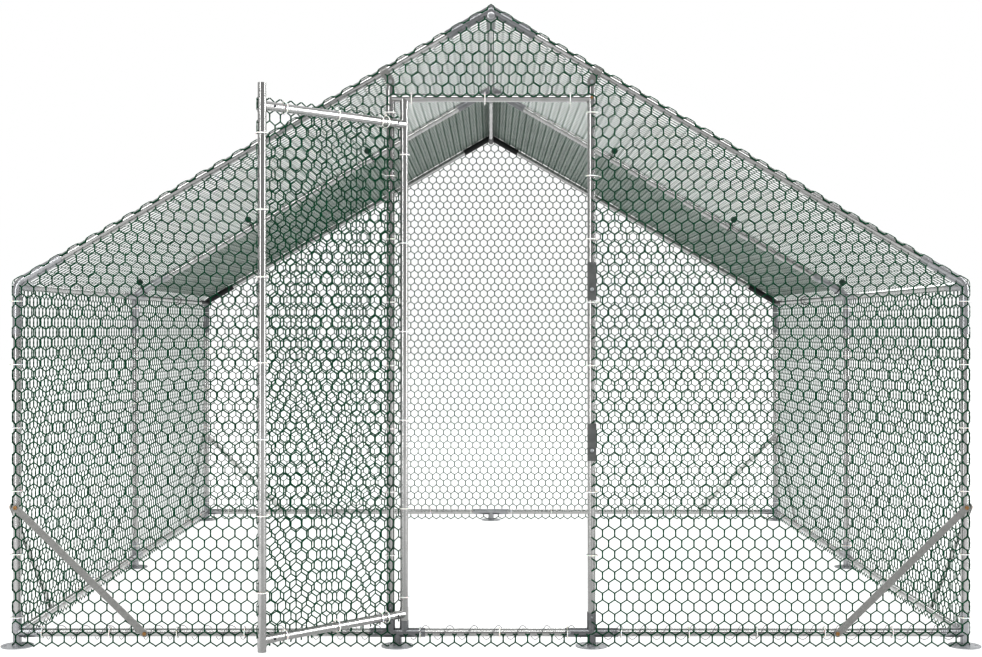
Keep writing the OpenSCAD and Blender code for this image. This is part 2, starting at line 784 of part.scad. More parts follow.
post(LEFT, FRONT);  // front_left_post
post(RIGHT, FRONT);  // front_right_post
post(LEFT, MIDDLE);  // middle_left_post
post(RIGHT, MIDDLE);  // middle_right_post
post(LEFT, REAR);  // rear_left_post
post(RIGHT, REAR);  // rear_right_post
rafter(LEFT, FRONT);  // front_left_rafter
rafter(RIGHT, FRONT);  // front_right_rafter
rafter(LEFT, MIDDLE);  // middle_left_rafter
rafter(RIGHT, MIDDLE);  // middle_right_rafter
rafter(LEFT, REAR);  // rear_left_rafter
rafter(RIGHT, REAR);  // rear_right_rafter
eave_purlins();
ridge_purlins();
side_ground_rails();
rear_ground_rails();
front_ground_rails();
door_sill();
left_door_post();
right_door_post();
lintel();
eave_elbow(LEFT, FRONT);  // front_left_eave_elbow
eave_elbow(RIGHT, FRONT);  // front_right_eave_elbow
eave_elbow(LEFT, MIDDLE);  // middle_left_eave_elbow
eave_elbow(RIGHT, MIDDLE);  // middle_right_eave_elbow
eave_elbow(LEFT, REAR);  // rear_left_eave_elbow
eave_elbow(RIGHT, REAR);  // rear_right_eave_elbow
apex_joint(FRONT);  // front_apex_joint
apex_joint(MIDDLE);  // middle_apex_joint
apex_joint(REAR);  // rear_apex_joint
corner_foot(LEFT, FRONT);  // front_left_foot
corner_foot(RIGHT, FRONT);  // front_right_foot
corner_foot(LEFT, REAR);  // rear_left_foot
corner_foot(RIGHT, REAR);  // rear_right_foot
middle_feet();
rear_centre_foot();
hinge_foot();
latch_foot();
lintel_hinge_tee();
lintel_tee();
post_top_clips();
corner_braces();
frame_screws();
front_side_net(LEFT);  // front_left_net
front_side_net(RIGHT);  // front_right_net
front_gable_net();
rear_net();
side_net(LEFT);  // left_net
side_net(RIGHT);  // right_net
roof_net(LEFT);  // left_roof_net
roof_net(RIGHT);  // right_roof_net
roof_cover();
cover_bungees();
door_stiles();
door_rails();
door_tees();
door_net();
latch(latch_high);  // upper_latch
latch(latch_low);  // lower_latch
latch_bolts();
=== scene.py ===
"""Walk-in chicken run: wire netting, ties, roof cover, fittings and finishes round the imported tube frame."""

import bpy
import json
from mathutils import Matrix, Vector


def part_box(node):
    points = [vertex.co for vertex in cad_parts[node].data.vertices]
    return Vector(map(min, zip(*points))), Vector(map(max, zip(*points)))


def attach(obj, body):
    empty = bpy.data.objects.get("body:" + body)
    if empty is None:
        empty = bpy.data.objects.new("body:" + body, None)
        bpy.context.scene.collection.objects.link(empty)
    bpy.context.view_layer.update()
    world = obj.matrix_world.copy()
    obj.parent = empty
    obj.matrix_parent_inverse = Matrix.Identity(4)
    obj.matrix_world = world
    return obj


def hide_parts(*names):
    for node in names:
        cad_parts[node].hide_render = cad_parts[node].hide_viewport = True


bl_info = {
    "name": "Chicken Run",
    "version": (1, 0, 0),
    "blender": (4, 5, 0),
    "location": "View3D > Sidebar > Chicken Run",
    "description": "Dresses a walk-in chicken run with netting, ties, a roof cover, finishes and a stage",
    "category": "Object",
}

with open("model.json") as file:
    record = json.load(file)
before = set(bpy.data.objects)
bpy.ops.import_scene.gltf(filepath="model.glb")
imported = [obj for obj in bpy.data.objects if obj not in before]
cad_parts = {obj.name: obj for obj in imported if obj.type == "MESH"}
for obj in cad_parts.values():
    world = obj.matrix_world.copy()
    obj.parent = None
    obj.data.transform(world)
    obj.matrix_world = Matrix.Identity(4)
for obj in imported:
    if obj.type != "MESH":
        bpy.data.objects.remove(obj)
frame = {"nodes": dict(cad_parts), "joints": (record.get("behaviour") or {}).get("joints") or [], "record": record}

import json
import math

import bpy
import numpy as np
from bpy.props import FloatProperty, PointerProperty, StringProperty
from mathutils import Vector

MM = 0.001
RIGHT, REAR, UP = np.eye(3)
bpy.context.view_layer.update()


# Sizes read from the frame

def middle(name):
    """Middle of a node's box."""
    low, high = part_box(name)
    return (low + high) / 2


def rafter_pitch():
    """Slope of the roof, from the box of a rafter tube."""
    low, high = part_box("front_right_rafter")
    span = high - low
    pitch = math.atan2(span.z, span.x)
    for _ in range(12):
        pitch = math.atan2(span.z - 2 * TUBE_R * math.cos(pitch), span.x - 2 * TUBE_R * math.sin(pitch))
    return pitch


def points_of(name):
    """A node's vertices as an array."""
    return np.array([v.co for v in frame["nodes"][name].data.vertices])


POST_LOW, POST_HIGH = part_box("middle_right_post")
HALF_W = middle("middle_right_post").x
BAY = -middle("front_right_post").y
TUBE_R = (POST_HIGH.x - POST_LOW.x) / 2
PITCH = rafter_pitch()
COS, SIN, TAN = math.cos(PITCH), math.sin(PITCH), math.tan(PITCH)
RAFTER = middle("front_right_rafter")
EAVE_Z = RAFTER.z - (HALF_W - RAFTER.x) * TAN
RIDGE_Z = RAFTER.z + RAFTER.x * TAN
SLOPE_LEN = HALF_W / COS
PURLIN_Z = middle("eave_purlins").z
RAIL_Z = middle("front_ground_rails").z
LINTEL_Z = middle("lintel").z
DOOR_POST_X = middle("right_door_post").x
SLEEVE_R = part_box("middle_right_eave_elbow")[1].x - HALF_W
NET_LOW, NET_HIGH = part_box("front_left_net")
NET_OFF = -NET_HIGH.y - BAY
NET_T = NET_HIGH.y - NET_LOW.y
LATCH_Z = [j["pos_m"][2] for j in frame["joints"] if j["name"].endswith("latch_turn")]
PLATE_TOP = 6 * MM  # just above the feet's ground plates

# The open door: its hinge line, the way along its rails, and the way out of its netted face
HINGE = Vector(next(j for j in frame["joints"] if j["name"] == "door_swing")["pos_m"])
STILES = Vector(points_of("door_stiles").mean(0))
DOOR_ALONG = Vector((STILES.x - HINGE.x, STILES.y - HINGE.y, 0))
DOOR_W = 2 * DOOR_ALONG.length
DOOR_ALONG.normalize()
DOOR_OUT = Vector((DOOR_ALONG.y, -DOOR_ALONG.x, 0))
DOOR_LOW, DOOR_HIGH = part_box("door_rails")[0].z + TUBE_R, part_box("door_rails")[1].z - TUBE_R


def on_door(along, z, out=0.0):
    """A point on the door: along its rails from the hinge line, at a height, and out of its netted face."""
    return (*(Vector((HINGE.x, HINGE.y, 0)) + DOOR_OUT * out + DOOR_ALONG * along).xy, z)


def roof_side(side):
    """A roof slope's eave point on the middle arch, its way uphill and its way out."""
    return [np.array(way) for way in ((side * HALF_W, 0, EAVE_Z), (-side * COS, 0, SIN), (side * SIN, 0, COS))]


# Settings

class RunNetting(bpy.types.PropertyGroup):
    """Hexagonal wire netting."""
    pitch: FloatProperty(name="Mesh width", description="Distance between the twisted sides of a hexagon",
                         default=0.0381, unit="LENGTH")
    wire_w: FloatProperty(name="Wire width", description="Width of a coated wire in the plane of the net",
                          default=0.0038, unit="LENGTH")
    wire_t: FloatProperty(name="Wire thickness", description="Thickness of a coated wire across the net",
                          default=0.0023, unit="LENGTH")
    flat_t: FloatProperty(name="Flat wire thickness",
                          description="Thickness of the wire where the cover or a latch lies close over it",
                          default=0.0015, unit="LENGTH")
    colour: StringProperty(name="Coating", description="Colour of the wire's coating", default="#0a4c33")


class RunTies(bpy.types.PropertyGroup):
    """Cable ties that hold the netting on the tubes."""
    spacing: FloatProperty(name="Spacing", description="Distance between the ties along a tube",
                           default=0.198, unit="LENGTH")
    band_w: FloatProperty(name="Band width", description="Width of a tie's band", default=0.003, unit="LENGTH")
    band_t: FloatProperty(name="Band thickness", description="Thickness of a tie's band",
                          default=0.0013, unit="LENGTH")
    colour: StringProperty(name="Nylon", description="Colour of the ties", default="#f4f4f0")


class RunCover(bpy.types.PropertyGroup):
    """Roof cover over the rear bay."""
    ripple: FloatProperty(name="Ripple", description="Height of the cover's ripples between its ties",
                          default=0.004, unit="LENGTH")
    hem: FloatProperty(name="Hem", description="Width of the folded hem", default=0.03, unit="LENGTH")
    # The underside colour is painted light for the shade under the roof; the upper side colour is painted shade
    # against the top light
    under: StringProperty(name="Underside", description="Colour of the sheet from below", default="#d8dcd9")
    upper: StringProperty(name="Upper side", description="Colour of the sheet from above", default="#8d9390")


class RunFinish(bpy.types.PropertyGroup):
    """Colours of the metal parts."""
    tube: StringProperty(name="Tube", description="Galvanised tube", default="#b9b9b8")
    sleeve: StringProperty(name="Sleeve", description="Galvanised connector", default="#adaeb0")
    dull_sleeve: StringProperty(name="Dull sleeve", description="Connectors at the ridge and the doorway",
                                default="#8d8e90")
    plate: StringProperty(name="Ground plate", description="Dull zinc of the feet's plates", default="#a0a2a5")
    latch: StringProperty(name="Latch", description="Coated latch plate", default="#626463")
    strip: StringProperty(name="Strip", description="Galvanised strip of braces and clips", default="#8f8f8d")
    # Strip inside: a paler colour painted on the braces' inner faces, as painted light
    strip_inside_painted_light: StringProperty(name="Strip inside", description="Inner side of the braces", default="#e6e6e4")
    # Rear sleeve: black painted shade on the rear connectors' arms along the rafters, for the shade under the
    # cover
    rear: StringProperty(name="Rear sleeve", description="Dark connectors under the cover", default="#17191a")
    zinc: StringProperty(name="Yellow zinc", description="Passivated screws", default="#a9845a")
    bolt: StringProperty(name="Bright zinc", description="Plated bolts", default="#c4c7ca")
    wire: StringProperty(name="Lacing wire", description="Drawn zinc wire along the rails", default="#696c6e")
    dull: StringProperty(name="Dull zinc", description="Screws in the door's tees", default="#565a5e")


class RunStage(bpy.types.PropertyGroup):
    """Camera and light."""
    distance: FloatProperty(name="Camera distance", description="From the camera to the middle arch",
                            default=6.015, unit="LENGTH")
    height: FloatProperty(name="Camera height", description="Height of the camera above the ground",
                          default=0.992, unit="LENGTH")
    lens: FloatProperty(name="Lens", description="Focal length for a 36 mm wide picture", default=52.8,
                        unit="CAMERA")
    floor: FloatProperty(name="Floor", description="Side of the floor", default=80.0, unit="LENGTH")


# Materials

def linear(hex_colour):
    """An sRGB hex colour as linear RGBA."""
    parts = [int(hex_colour[i:i + 2], 16) / 255 for i in (1, 3, 5)]
    return (*[c / 12.92 if c <= 0.04045 else ((c + 0.055) / 1.055) ** 2.4 for c in parts], 1.0)


def shade(hex_colour, factor):
    """A lighter or darker version of a colour, as linear RGBA."""
    red, green, blue, alpha = linear(hex_colour)
    return (*[min(c * factor, 1.0) for c in (red, green, blue)], alpha)


def feed(tree, made, inputs):
    """Gives each input of a node its value, or a link from a socket or from another node's first output."""
    for key, value in inputs.items():
        socket = made.inputs[key] if isinstance(key, int) else next(
            i for i in made.inputs if i.name == key and i.enabled)
        if isinstance(value, bpy.types.Node):
            value = next(o for o in value.outputs if o.enabled)
        if isinstance(value, bpy.types.NodeSocket):
            tree.links.new(value, socket)
        else:
            socket.default_value = value


def node(tree, kind, inputs, stops=(), **settings):
    """Adds a node with its settings, its inputs and, on a ramp, its stops of position and colour."""
    made = tree.nodes.new(kind)
    for key, value in settings.items():
        setattr(made, key, value)
    feed(tree, made, inputs)
    for number, (position, colour) in enumerate(stops):
        elements = made.color_ramp.elements
        element = elements[number] if number < len(elements) else elements.new(position)
        element.position, element.color = position, colour
    return made


def grey(value):
    """A neutral colour as linear RGBA."""
    return (value, value, value, 1.0)


def tones(colour, low, high, span=(0.3, 0.7)):
    """A ramp's two stops: a colour made darker or lighter by the factors low and high."""
    return [(span[0], shade(colour, low)), (span[1], shade(colour, high))]


def two_colours(tree, pattern, switch, off, on):
    """A pattern's colour: from the stops off, or from the stops on where the switch is 1."""
    tints = [node(tree, "ShaderNodeValToRGB", {"Fac": pattern}, stops) for stops in (off, on)]
    return node(tree, "ShaderNodeMix", {"Factor": switch, "A": tints[0], "B": tints[1]}, data_type="RGBA")


def start_material(name):
    """A new material with its tree, its shader and the object's own coordinates in metres."""
    made = bpy.data.materials.new(name)
    made.use_nodes = True
    tree = made.node_tree
    place = node(tree, "ShaderNodeTexCoord", {}).outputs["Object"]
    return made, tree, tree.nodes["Principled BSDF"], place


def per_mm(size):
    """Texture scale for a pattern of a real size in millimetres, on coordinates in metres."""
    return 1 / (size * MM)


def galvanised(tree, shader, place, colour, spangle, sheen, dark, plate=None):
    """Hot-dip galvanised steel: zinc crystals of the spangle's size in millimetres, some pale and some dull,
    with a sheen that changes a little between them. A foot's plate, on damp ground, has lost its shine."""
    cells = node(tree, "ShaderNodeTexVoronoi", {"Vector": place, "Scale": per_mm(spangle)})
    cloud = node(tree, "ShaderNodeTexNoise", {"Vector": place, "Scale": per_mm(90), "Detail": 4.0})
    waves = node(tree, "ShaderNodeTexNoise", {"Vector": place, "Scale": per_mm(40), "Detail": 1.0})
    crystal = node(tree, "ShaderNodeRGBToBW", {"Color": cells.outputs["Color"]})
    tone = node(tree, "ShaderNodeMath", {0: crystal, 1: cloud}, operation="ADD")
    span = 0.45, 1.0
    zinc, gloss = tones(colour, dark, 1.0, span), [(0.4, grey(sheen + 0.05)), (1.0, grey(sheen))]
    feed(tree, shader, {
        "Roughness": node(tree, "ShaderNodeValToRGB", {"Fac": tone}, gloss),
        "Normal": node(tree, "ShaderNodeBump", {"Height": waves, "Strength": 0.05, "Distance": 0.4 * MM})})
    if plate:
        height = node(tree, "ShaderNodeSeparateXYZ", {"Vector": place}).outputs["Z"]
        shine = node(tree, "ShaderNodeValToRGB", {"Fac": height},
                     [(PLATE_TOP, grey(0.1)), (1.5 * PLATE_TOP, grey(1.0))])
        tint = two_colours(tree, tone, shine, tones(plate, 0.85, 1.1, span), zinc)
    else:
        shine, tint = 1.0, node(tree, "ShaderNodeValToRGB", {"Fac": tone}, zinc)
    feed(tree, shader, {"Base Color": tint, "Metallic": shine})


def strip_painted_light_inside(tree, shader, place, outer, inner):
    """Galvanised flat strip: its inner side is painted pale as painted light, its outer side keeps the darker grey
    of the strip.
    """
    cells = node(tree, "ShaderNodeTexVoronoi", {"Vector": place, "Scale": per_mm(7)})
    crystal = node(tree, "ShaderNodeRGBToBW", {"Color": cells.outputs["Color"]})
    faces = node(tree, "ShaderNodeTexCoord", {}).outputs["Normal"]
    ground = node(tree, "ShaderNodeVectorMath", {0: place, 1: (1.0, 1.0, 0.0)}, operation="MULTIPLY")
    away = node(tree, "ShaderNodeVectorMath", {0: faces, 1: ground}, operation="DOT_PRODUCT").outputs["Value"]
    # Faces turned towards the middle of the run take the pale colour: painted light
    inward = node(tree, "ShaderNodeMath", {0: away, 1: 0.0}, operation="LESS_THAN")
    sides = [tones(colour, 0.88, 1.0, (0.2, 0.8)) for colour in (outer, inner)]
    feed(tree, shader, {"Base Color": two_colours(tree, crystal, inward, *sides),
                        "Metallic": 0.35, "Roughness": 0.5})


def frame_fasteners(tree, shader, place, yellow, bright):
    """Plated steel screws: yellow passivated on the braces, bright zinc on the clips up at the rafters."""
    cloud = node(tree, "ShaderNodeTexNoise", {"Vector": place, "Scale": per_mm(4), "Detail": 3.0})
    height = node(tree, "ShaderNodeSeparateXYZ", {"Vector": place}).outputs["Z"]
    up = node(tree, "ShaderNodeMath", {0: height, 1: LINTEL_Z}, operation="GREATER_THAN")
    span = 0.35, 0.65
    tint = two_colours(tree, cloud, up, tones(yellow, 0.6, 1.0, span), tones(bright, 0.75, 1.0, span))
    feed(tree, shader, {"Base Color": tint, "Metallic": 1.0, "Roughness": 0.3})


def zinc_plated(tree, shader, place, colour):
    """Zinc plated steel: bright, with the passivation's uneven tint."""
    cloud = node(tree, "ShaderNodeTexNoise", {"Vector": place, "Scale": per_mm(4), "Detail": 3.0})
    tint = node(tree, "ShaderNodeValToRGB", {"Fac": cloud}, tones(colour, 0.7, 1.0, (0.35, 0.65)))
    feed(tree, shader, {"Base Color": tint, "Metallic": 1.0, "Roughness": 0.3})


def powder_coat(tree, shader, place, colour):
    """Powder coated steel: dull and dark, with the coating's orange-peel surface."""
    peel = node(tree, "ShaderNodeTexNoise", {"Vector": place, "Scale": per_mm(1.5), "Detail": 2.0})
    cloud = node(tree, "ShaderNodeTexNoise", {"Vector": place, "Scale": per_mm(30), "Detail": 4.0})
    feed(tree, shader, {
        "Base Color": node(tree, "ShaderNodeValToRGB", {"Fac": cloud}, tones(colour, 0.75, 1.15)),
        "Normal": node(tree, "ShaderNodeBump", {"Height": peel, "Strength": 0.25, "Distance": 0.3 * MM}),
        "Roughness": 0.45})


def painted_shade_arms(tree, shader, place, shade_black, zinc):
    """Connector whose arms along the rafters are painted black as painted shade under the cover, with bare dull
    zinc on the post's arm.
    """
    cloud = node(tree, "ShaderNodeTexNoise", {"Vector": place, "Scale": per_mm(30), "Detail": 4.0})
    height = node(tree, "ShaderNodeSeparateXYZ", {"Vector": place}).outputs["Z"]
    bare = node(tree, "ShaderNodeMath", {0: height, 1: EAVE_Z - SLEEVE_R}, operation="LESS_THAN")
    arms = [tones(colour, 0.75, 1.15) for colour in (shade_black, zinc)]
    feed(tree, shader, {"Base Color": two_colours(tree, cloud, bare, *arms), "Metallic": bare,
                        "Roughness": 0.4})


def coated_wire(tree, shader, place, colour):
    """PVC dipped wire: a dark green plastic skin, a little paler in places."""
    cloud = node(tree, "ShaderNodeTexNoise", {"Vector": place, "Scale": per_mm(60), "Detail": 3.0})
    tint = node(tree, "ShaderNodeValToRGB", {"Fac": cloud}, tones(colour, 0.75, 1.25))
    feed(tree, shader, {"Base Color": tint, "Roughness": 0.6, "Specular IOR Level": 0.12})


def woven_sheet(tree, shader, place, under, upper):
    """Woven polyethylene sheet, coated on both sides: flat tapes that cross, drawn 6 mm wide so that they show.
    Its underside is painted pale as painted light in the shade under the roof, and its upper side darker as
    painted shade against the light from above."""
    tapes = [node(tree, "ShaderNodeTexWave", {"Vector": place, "Scale": per_mm(6) / 20, "Distortion": 0.3},
                  bands_direction=way).outputs["Fac"] for way in "XY"]
    weave = node(tree, "ShaderNodeMath", {0: tapes[0], 1: tapes[1]}, operation="MULTIPLY")
    cloud = node(tree, "ShaderNodeTexNoise", {"Vector": place, "Scale": per_mm(320), "Detail": 5.0})
    tone = node(tree, "ShaderNodeMath", {0: weave, 1: 0.25, 2: cloud}, operation="MULTIPLY_ADD")
    faces = node(tree, "ShaderNodeTexCoord", {}).outputs["Normal"]
    rise = node(tree, "ShaderNodeSeparateXYZ", {"Vector": faces}).outputs["Z"]
    # Faces turned up take the darker upper colour as painted shade, the rest the pale underside colour as painted
    # light
    above = node(tree, "ShaderNodeMath", {0: rise, 1: 0.0}, operation="GREATER_THAN")
    sides = [tones(colour, 0.9, 1.05, (0.3, 0.8)) for colour in (under, upper)]
    feed(tree, shader, {
        "Base Color": two_colours(tree, tone, above, *sides),
        "Normal": node(tree, "ShaderNodeBump", {"Height": weave, "Strength": 0.12, "Distance": 0.3 * MM}),
        "Roughness": 0.5})


def moulded_nylon(tree, shader, place, colour):
    """Moulded nylon: milky white, a soft gloss."""
    cloud = node(tree, "ShaderNodeTexNoise", {"Vector": place, "Scale": per_mm(10), "Detail": 2.0})
    tint = node(tree, "ShaderNodeValToRGB", {"Fac": cloud}, tones(colour, 0.94, 1.0))
    feed(tree, shader, {"Base Color": tint, "Roughness": 0.4, "Subsurface Weight": 0.15,
                        "Subsurface Scale": 1.5 * MM})


def black_elastic(tree, shader, place):
    """Elastic cord and its moulded ball: black, with a slight grain."""
    grain = node(tree, "ShaderNodeTexNoise", {"Vector": place, "Scale": per_mm(1.2), "Detail": 2.0})
    blacks = [(0.3, linear("#131516")), (0.7, linear("#2b2e2f"))]
    feed(tree, shader, {
        "Base Color": node(tree, "ShaderNodeValToRGB", {"Fac": grain}, blacks),
        "Normal": node(tree, "ShaderNodeBump", {"Height": grain, "Strength": 0.2, "Distance": 0.2 * MM}),
        "Roughness": 0.35})


def finish(name, maker, *details, **more):
    """The material of that name, made once: its maker fills the tree from the details."""
    made = bpy.data.materials.get(name)
    if not made:
        made, *parts = start_material(name)
        maker(*parts, *details, **more)
    return made


def sleeve_finish(name, colour, plate):
    """Zinc of the connectors, in one of its two shades."""
    return finish(name, galvanised, colour, spangle=14, sheen=0.34, dark=0.8, plate=plate)


def paint(obj, material):
    """Gives an object one material."""
    obj.data.materials.clear()
    obj.data.materials.append(material)


# Meshes

def new_object(name, verts, *face_sets, crease=None):
    """A smooth mesh object from points and arrays of faces, with sharp edges above the crease angle."""
    if not np.isfinite(verts).all():
        raise ValueError(f"{name} has points with no place")
    mesh = bpy.data.meshes.new(name)
    loops = np.concatenate([faces.ravel() for faces in face_sets]).astype(np.int32)
    sides = np.concatenate([np.full(len(faces), faces.shape[1]) for faces in face_sets])
    mesh.vertices.add(len(verts))
    mesh.vertices.foreach_set("co", np.asarray(verts, np.float32).ravel())
    mesh.loops.add(len(loops))
    mesh.loops.foreach_set("vertex_index", loops)
    mesh.polygons.add(len(sides))
    mesh.polygons.foreach_set("loop_start", np.concatenate([[0], np.cumsum(sides)[:-1]]).astype(np.int32))
    mesh.polygons.foreach_set("use_smooth", np.ones(len(sides), bool))
    mesh.update(calc_edges=True)
    if crease:
        mesh.set_sharp_from_angle(angle=math.radians(crease))
    obj = bpy.data.objects.new(name, mesh)
    bpy.context.scene.collection.objects.link(obj)
    return obj


def unit(vectors):
    """The vectors at length 1."""
    return vectors / np.linalg.norm(vectors, axis=-1, keepdims=True)


def sweep(path, out, ring, size=None, closed=False, ahead=None):
    """Tube along a path: its points, quads and end caps. The ring's points are (across, out) from the path, and
    size scales the ring at each point."""
    count, sides = len(path), len(ring)
    if ahead is None:
        ahead = np.roll(path, -1, axis=0) - np.roll(path, 1, axis=0) if closed else np.gradient(path, axis=0)
    across = unit(np.cross(out, ahead))
    rings = ring[None] * (np.ones(count) if size is None else np.asarray(size, float))[:, None, None]
    verts = (path[:, None] + rings[..., :1] * across[:, None] + rings[..., 1:] * out[:, None]).reshape(-1, 3)
    here = np.arange(count if closed else count - 1)[:, None] * sides
    there = (here + sides) % (count * sides)
    turn = np.arange(sides)
    after = (turn + 1) % sides
    quads = np.stack([here + turn, here + after, there + after, there + turn], -1).reshape(-1, 4)
    caps = np.stack([turn[::-1], turn + (count - 1) * sides])
    return verts, quads, caps[:0] if closed else caps


def oblong(left, low, right, high):
    """Corners of a rectangle."""
    return [(left, low), (right, low), (right, high), (left, high)]


def block(width, height):
    """Ring of a flat band or block."""
    return np.array(oblong(-width, -height, width, height)) / 2


def disc(radius, sides):
    """Round ring."""
    angle = np.linspace(0, 2 * math.pi, sides, endpoint=False)
    return np.stack([np.cos(angle), np.sin(angle)], -1) * radius


def hoop(centre, radius, first, second, ring, count=28):
    """A closed ring round a centre, in the plane of two ways: its points and quads."""
    ray = disc(1.0, count)
    out = ray[:, :1] * first + ray[:, 1:] * second
    return sweep(centre + radius * out, out, ring, closed=True)


def join(pieces):
    """Points and faces of several swept pieces as one set, the faces sorted by their number of sides."""
    starts = np.cumsum([0] + [len(p[0]) for p in pieces[:-1]])
    faces = [f + at for p, at in zip(pieces, starts) for f in p[1:] if len(f)]
    return [np.concatenate([p[0] for p in pieces]), *[
        np.concatenate([f for f in faces if f.shape[1] == n]) for n in sorted({f.shape[1] for f in faces})]]


def turned(profile, sides, origin, axis):
    """A turned form from (radius, height) points along an axis: its points, quads and end caps."""
    axis = unit(np.array(axis, float))
    out = unit(np.cross(axis, (0.31, 0.95, 0.11)))
    radius, height = np.array(profile, float).T
    path = np.array(origin, float) + height[:, None] * axis
    ways = np.tile(axis, (len(path), 1))
    return sweep(path, np.tile(out, (len(path), 1)), disc(1.0, sides), size=radius, ahead=ways)


def add_piece(name, parts, material, body="frame", slot=None, stands_for=None, crease=None):
    """One piece of the run from its swept parts, with its finish, the body that carries it and the node that it
    stands for. The slot argument is not used."""
    obj = new_object(name, *join(parts), crease=crease)
    paint(obj, material)
    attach(obj, body)
    if stands_for:
        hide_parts(stands_for)


# Netting

SIDE_STEP, DEPTH_STEP = 0.28, 0.4  # of a wire's width and thickness, by which a pair parts at its twist


class Panel:
    """A net on a plane through tube centre lines: u is across the twisted sides, v along them, out is its face.
    Past the fold in u or v the net wraps round the tube there."""

    def __init__(self, origin, u, v, out, outline, off, fold_u=None, fold_v=None, start=(0.0, 0.0)):
        self.origin, self.u, self.v, self.out = (np.array(x, float) for x in (origin, u, v, out))
        self.outline, self.off, self.start = np.array(outline, float), off, start
        self.folds = (fold_u, fold_v)

    def clip(self, path):
        """The runs of a path inside the outline, cut off at its edges."""
        a, b = self.outline, np.roll(self.outline, -1, axis=0)
        inward = unit(np.stack([a[:, 1] - b[:, 1], b[:, 0] - a[:, 0]], -1))
        depth = ((path[:, None, :2] - a[None]) * inward[None]).sum(-1).min(1)
        inside = depth >= 0
        edges = np.flatnonzero(np.diff(np.concatenate([[0], inside.astype(int), [0]])))
        for first, last in edges.reshape(-1, 2):
            run = [path[first:last]]
            if first:
                run.insert(0, self.cut(path, depth, first, first - 1))
            if last < len(path):
                run.append(self.cut(path, depth, last - 1, last))
            run = np.concatenate(run)
            if len(run) > 1 and np.abs(run[-1] - run[0]).sum() > 1e-4:
                yield run

    @staticmethod
    def cut(path, depth, inner, outer):
        """Where a wire meets the edge, as one point, or none if its own inner point lies there."""
        share = depth[inner] / (depth[inner] - depth[outer])
        return (path[inner] + (path[outer] - path[inner]) * share)[None][:int(share > 0.02)]

    def soften(self, path):
        """More points where the path wraps round a tube."""
        bent = np.zeros(len(path), bool)
        for axis, fold in enumerate(self.folds):
            if fold:
                bent |= (path[:, axis] < fold[0]) | (path[:, axis] > fold[1])
        if not bent.any():
            return path
        spots = [np.linspace(i, i + 1, 5 if bent[i] or bent[i + 1] else 2)[:-1] for i in range(len(path) - 1)]
        spots = np.concatenate(spots + [[len(path) - 1]])
        return np.stack([np.interp(spots, np.arange(len(path)), path[:, k]) for k in range(3)], -1)

    def place(self, path):
        """Points in the frame and the net's own outward way there."""
        flat, out = [path[:, 0].copy(), path[:, 1].copy()], np.tile(self.out, (len(path), 1))
        lift = self.off + path[:, 2]
        rise = lift.copy()
        for axis, (fold, way) in enumerate(zip(self.folds, (self.u, self.v))):
            if not fold:
                continue
            held = np.clip(flat[axis], *fold)
            angle = (flat[axis] - held) / self.off
            flat[axis] = held + lift * np.sin(angle)
            rise = rise * np.cos(angle)
            out = out * np.cos(angle)[:, None] + way * np.sin(angle)[:, None]
        spots = self.origin + flat[0][:, None] * self.u + flat[1][:, None] * self.v + rise[:, None] * self.out
        return spots, out


def net_wires(panel, pitch, spread):
    """Paths of the net's wires: each runs slantwise and makes half a turn with another at every side."""
    side, row = pitch / math.sqrt(3), pitch * math.sqrt(3) / 2
    low, high = panel.outline.min(0), panel.outline.max(0)
    rows = np.arange(math.floor((low[1] - panel.start[1]) / row) - 1,
                     math.ceil((high[1] - panel.start[1]) / row) + 2)
    for way in (-1, 1):
        reach = sorted(-way * rows[[0, -1]] / 2)
        first = math.floor((low[0] - panel.start[0]) / pitch + reach[0]) - 1
        last = math.ceil((high[0] - panel.start[0]) / pitch + reach[1]) + 1
        for column in range(first, last + 1):
            u = panel.start[0] + (way * rows / 2 + column) * pitch
            v = panel.start[1] + rows * row
            flat = np.zeros(len(rows))
            points = np.stack([
                np.stack([u - way * spread[0], v - side / 2, flat], -1),
                np.stack([u, v, flat + way * spread[1]], -1),
                np.stack([u + way * spread[0], v + side / 2, flat], -1),
            ], 1).reshape(-1, 3)
            yield from panel.clip(points)


def wire_ring(width, thick):
    """Three points round a wire."""
    angle = np.radians([90, 210, 330])
    return np.stack([np.cos(angle) * width / math.sqrt(3), np.sin(angle) * thick / 1.5], -1)


def gable(x):
    """Height of the rafters' centre lines at a distance from the middle."""
    return RIDGE_Z - abs(x) * TAN


